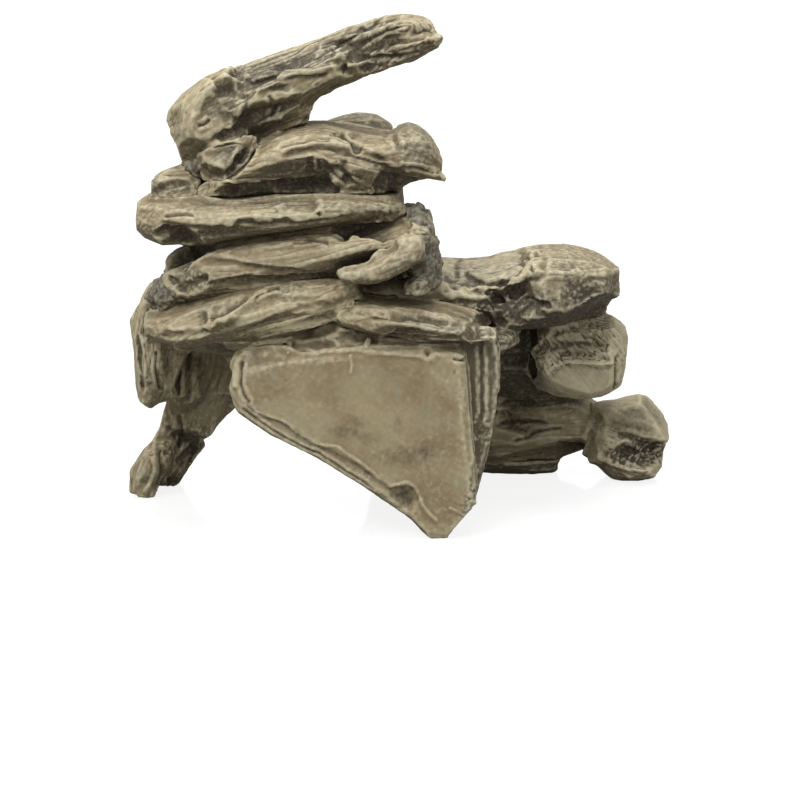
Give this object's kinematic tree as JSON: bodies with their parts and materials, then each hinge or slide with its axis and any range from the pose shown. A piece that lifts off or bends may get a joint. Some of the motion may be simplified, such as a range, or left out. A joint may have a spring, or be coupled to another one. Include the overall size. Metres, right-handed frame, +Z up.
{
  "type": "aquarium cave ornament",
  "caption": "Free-standing cast-resin cave of stacked stones: slabs and a leg carry a roof, a leaning tower of courses and a side ledge over a swim-through chamber.",
  "frame": {"origin": "middle of the ornament's outline, on the surface that it stands on", "axes": "+X along the ornament from the left leg to the foot stone, +Y to its back, +Z up"},
  "size_m": [0.2249, 0.1145, 0.1965],
  "materials": {
    "painted_stone": "cast polyresin, hand-painted khaki stone with a dark wash in the recesses and dry-brushed edges",
    "rubble_mortar": "gritty resin putty, darker, heavily washed",
    "bare_dowel": "bare unpainted resin, out of sight"
  },
  "bodies": {
    "root": {"left_leg": "painted_stone", "shoulder_stone": "painted_stone", "front_slab": "painted_stone", "backing_slab": "painted_stone", "rear_slab": "painted_stone", "footing_stone": "painted_stone", "base_stone": "painted_stone", "foot_stone": "painted_stone", "mid_stone": "painted_stone", "rear_block": "painted_stone", "roof_stone": "painted_stone", "lintel_stone": "painted_stone", "ledge_stone": "painted_stone", "under_course": "painted_stone", "course1_stone": "painted_stone", "course2_stone": "painted_stone", "course3_stone": "painted_stone", "arch_stone": "painted_stone", "crown_stone": "painted_stone", "knuckle_stone": "painted_stone", "chip_stone": "painted_stone", "back_stone": "painted_stone", "finger_stone": "painted_stone", "wedge_stone": "painted_stone", "rear_buttress": "painted_stone", "tower_rubble": "rubble_mortar", "shoulder_rubble": "rubble_mortar", "crown_bedding": "rubble_mortar", "tower_dowels": "bare_dowel", "crown_dowels": "bare_dowel", "leg_dowels": "bare_dowel", "slab_dowels": "bare_dowel", "side_dowels": "bare_dowel"}
  },
  "joints": []
}
